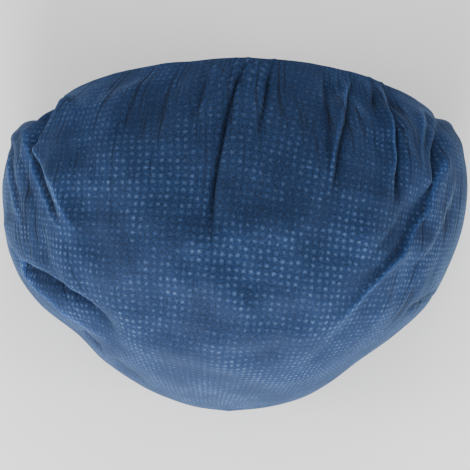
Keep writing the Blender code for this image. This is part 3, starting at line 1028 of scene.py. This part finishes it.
@dataclass(frozen=True)
class ElasticFinish:
    """Pale elastic with a fine uneven surface."""

    name: str = "elastic_band"
    colour: tuple[float, float, float, float] = (0.62, 0.63, 0.65, 1.0)
    dark_share: float = 0.8
    grain: NoiseLook = NoiseLook(900.0, 2.0, 0.5)
    bump_strength: float = 1.0
    bump_distance: float = 0.0002
    roughness: float = 0.7

    def build(self) -> bpy.types.Material:
        """Make the material.

        Returns:
            The material.
        """
        finish, nodes, shader = new_material(self.name)
        grain = nodes.noise(nodes.add("ShaderNodeTexCoord", {}).outputs["Object"], self.grain)
        dark = tuple(channel * self.dark_share for channel in self.colour[:3]) + (1.0,)
        nodes.feed(shader, {
            "Base Color": nodes.mix(grain, dark, self.colour),
            "Normal": nodes.bump(grain, self.bump_strength, self.bump_distance),
            "Roughness": self.roughness,
        })
        return finish


@dataclass
class ClothPiece(ABC):
    """What every piece shares: the cap's form, its folds and its flat sheet."""

    shape: CapShape
    relief: ClothRelief
    layout: SheetLayout
    name: str
    steps: int
    rows: int
    wall: float

    @abstractmethod
    def alongs(self) -> np.ndarray:
        """Give the share of the meridian of each row to lay."""

    @abstractmethod
    def arranged(self, points: np.ndarray) -> tuple[np.ndarray, np.ndarray]:
        """Turn the rows that were laid into the piece's, and say which row each is laid from."""

    def build(self, finish: bpy.types.Material, flat: np.ndarray) -> bpy.types.Object:
        """Make, fold and dress the piece.

        Args:
            finish: the piece's material.
            flat: the layout of the flat sheet.

        Returns:
            The piece, with its thickness on the inner side.
        """
        alongs = self.alongs()
        sheet = self.layout.spread_to(flat, alongs, self.steps)
        points, lines = self.relief.apply(self.shape.rings(alongs, self.steps), alongs, sheet[:, :-1])
        rows, order = self.arranged(points)
        made = cloth_object(self.name, rows, sheet[order], alongs[order], lines[order])
        wall = made.modifiers.new("Wall", "SOLIDIFY")
        wall.thickness, wall.offset = self.wall, -1.0
        made.data.materials.append(finish)
        return made


@dataclass
class Crown(ClothPiece):
    """The puffed crown, one gathered sheet whose edge rolls in at the mouth."""

    name: str = "crown_cloth"
    steps: int = 396
    rows: int = 121
    wall: float = 0.0004
    roll: float = 0.0009
    roll_steps: int = 4
    flat_size: tuple[float, float] = (0.530, 0.415)
    flat_area: float = 0.1727

    def alongs(self) -> np.ndarray:
        """Space the crown's rows from the mouth to the end."""
        return np.linspace(0.0, 1.0, self.rows + 1)

    def arranged(self, points: np.ndarray) -> tuple[np.ndarray, np.ndarray]:
        """Roll the sheet's edge inwards at the mouth.

        Args:
            points: the crown's rows, the mouth's first.

        Returns:
            The rows with the roll's before them, and which row each is laid from.
        """
        normals = surface_normals(points)[0]
        outward = points[0] - points[1]
        outward /= np.linalg.norm(outward, axis=1, keepdims=True)
        turns = np.linspace(np.pi, 0.0, self.roll_steps + 1)[:-1]
        inward = [self.roll * (1 - np.cos(turn)) for turn in turns]
        forward = [self.roll * np.sin(turn) for turn in turns]
        edge = [points[0] - normals * i + outward * f for i, f in zip(inward, forward)]
        order = np.concatenate((np.zeros(self.roll_steps, int), np.arange(len(points))))
        return np.concatenate((edge, points)), order


@dataclass
class HemBand(ClothPiece):
    """A piece that runs round inside the mouth, at its own depth under the crown."""

    start: float
    width: float

    @abstractmethod
    def depths(self) -> np.ndarray:
        """Say how deep each row lies, with one more at each end."""

    def alongs(self) -> np.ndarray:
        """Space the band's rows, with one more row on each side for its directions."""
        ends = np.linspace(self.start, self.start + self.width, self.rows + 1)
        return np.concatenate(([0.0], ends, [ends[-1] + BAND_MARGIN])) / self.shape.meridian

    def arranged(self, points: np.ndarray) -> tuple[np.ndarray, np.ndarray]:
        """Place the rows inside the cloth and leave out the row on each side."""
        inner = points - surface_normals(points) * self.depths()[:, None, None]
        return inner[1:-1], np.arange(1, len(points) - 1)


@dataclass
class HemCasing(HemBand):
    """The hem turned in behind the mouth's edge."""

    name: str = "hem_casing_cloth"
    steps: int = 440
    rows: int = 8
    wall: float = 0.0004
    start: float = 0.0030
    width: float = 0.0104
    seat: float = 0.0015
    pocket: float = 0.0029
    bow_ends: float = 5.0

    def depths(self) -> np.ndarray:
        """Say how deep each row lies, bowed where the elastic runs in the casing.

        Returns:
            The depths in metres, with one more at each end.
        """
        share = np.linspace(0.0, 1.0, self.rows + 1)
        bow = np.minimum(smoothstep(share * self.bow_ends), smoothstep((1 - share) * self.bow_ends))
        return np.pad(self.seat + (self.pocket - self.seat) * bow, 1)


@dataclass
class Elastic(HemBand):
    """The flat elastic band that runs round inside the casing."""

    name: str = "elastic_band"
    steps: int = 440
    rows: int = 3
    wall: float = 0.0008
    start: float = 0.0055
    width: float = 0.0055
    depth: float = 0.0017

    def depths(self) -> np.ndarray:
        """Lay every row at one depth."""
        return np.full(self.rows + 3, self.depth)


@dataclass(frozen=True)
class Lamp:
    """One soft square light."""

    name: str
    place: tuple[float, float, float]
    size: float
    power: float


@dataclass
class Studio:
    """The pale floor, the soft lights and the camera above the cap."""

    floor_size: float = 6.0
    floor_colour: tuple[float, float, float, float] = (0.93, 0.93, 0.93, 1.0)
    floor_roughness: float = 0.9
    world_strength: float = 0.75
    light_aim: tuple[float, float, float] = (0.0, 0.0, 0.04)
    lens: float = 200.0
    sensor: float = 36.0
    frame_width: float = 0.2818
    focus_height: float = 0.045
    aim_offset: float = 0.0019
    lamps: tuple[Lamp, ...] = (
        Lamp("crown_end_light", (-0.20, -1.45, 0.42), 0.6, 51.0),
        Lamp("left_light", (-1.4, -0.1, 0.45), 0.5, 16.0),
        Lamp("mouth_light", (0.2, 1.3, 1.0), 0.8, 10.0),
        Lamp("right_light", (1.5, -0.4, 0.5), 0.5, 15.0),
    )

    def floor(self) -> None:
        mesh = bmesh.new()
        bmesh.ops.create_grid(mesh, x_segments=1, y_segments=1, size=self.floor_size / 2)
        data = bpy.data.meshes.new("floor")
        mesh.to_mesh(data)
        mesh.free()
        made = bpy.data.objects.new("floor", data)
        bpy.context.scene.collection.objects.link(made)
        finish, nodes, shader = new_material("floor")
        nodes.feed(shader, {"Base Color": self.floor_colour, "Roughness": self.floor_roughness})
        data.materials.append(finish)

    def light(self, lamp: Lamp) -> None:
        """Aim one soft square light at the cap.

        Args:
            lamp: the light's name, place, size and power.
        """
        data = bpy.data.lights.new(lamp.name, "AREA")
        data.size = lamp.size
        data.energy = lamp.power
        made = bpy.data.objects.new(lamp.name, data)
        made.location = lamp.place
        aim = Vector(self.light_aim) - Vector(lamp.place)
        made.rotation_euler = aim.to_track_quat("-Z", "Y").to_euler()
        bpy.context.scene.collection.objects.link(made)

    def build(self) -> None:
        """Set up the floor, the lights, the world and the camera."""
        self.floor()
        for lamp in self.lamps:
            self.light(lamp)
        world = bpy.data.worlds.new("studio")
        world.use_nodes = True
        sky = world.node_tree.nodes["Background"]
        sky.inputs["Color"].default_value = (1.0, 1.0, 1.0, 1.0)
        sky.inputs["Strength"].default_value = self.world_strength
        bpy.context.scene.world = world
        data = bpy.data.cameras.new("camera")
        data.lens = self.lens
        data.sensor_width = self.sensor
        camera = bpy.data.objects.new("camera", data)
        distance = self.frame_width * self.lens / self.sensor
        camera.matrix_world = Matrix.Translation((0.0, self.aim_offset, self.focus_height + distance))
        bpy.context.scene.collection.objects.link(camera)
        bpy.context.scene.camera = camera


OUTER_CLOTH = NonwovenFinish(
    name="nonwoven_cloth",
    web=(0.0052, 0.0180, 0.058, 1),
    web_light=(0.0072, 0.0250, 0.080, 1),
    points=(0.042, 0.082, 0.184, 1),
    sheen=(0.32, 0.64, 1.0, 1),
    sheen_weight=0.13,
)
INNER_CLOTH = NonwovenFinish(
    name="nonwoven_inside",
    web=(0.0055, 0.0170, 0.052, 1),
    web_light=(0.0075, 0.0240, 0.072, 1),
    points=(0.045, 0.088, 0.185, 1),
    sheen=(0.36, 0.66, 1.0, 1),
    sheen_weight=0.10,
)


def main() -> None:
    """Build the cap's pieces in order, attach each to the root body and hide its solid."""
    logging.basicConfig(level=logging.INFO, format="%(message)s")
    Studio().build()
    low, high = (Vector(corner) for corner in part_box("crown"))
    size = high - low
    shape = CapShape(width=size.x, depth=size.y, height=size.z)
    relief = ClothRelief(shape)
    layout = SheetLayout(shape)
    flat = layout.lay_flat()
    LOG.info("flat layout spans %s m", np.ptp(flat.reshape(-1, 2), axis=0).round(3))
    group = BondedCloth().build()
    outer = OUTER_CLOTH.build(group)
    inner = INNER_CLOTH.build(group)

    crown = Crown(shape, relief, layout)
    cloth = crown.build(outer, flat)
    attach(cloth, ROOT_BODY)
    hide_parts("crown")
    LOG.info("crown: %d points", len(cloth.data.vertices))

    casing = HemCasing(shape, relief, layout).build(inner, flat)
    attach(casing, ROOT_BODY)
    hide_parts("hem_casing")
    LOG.info("hem casing: %d points", len(casing.data.vertices))

    elastic = Elastic(shape, relief, layout).build(ElasticFinish().build(), flat)
    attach(elastic, ROOT_BODY)
    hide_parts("elastic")
    LOG.info("elastic: %d points", len(elastic.data.vertices))


if __name__ == "__main__":
    main()
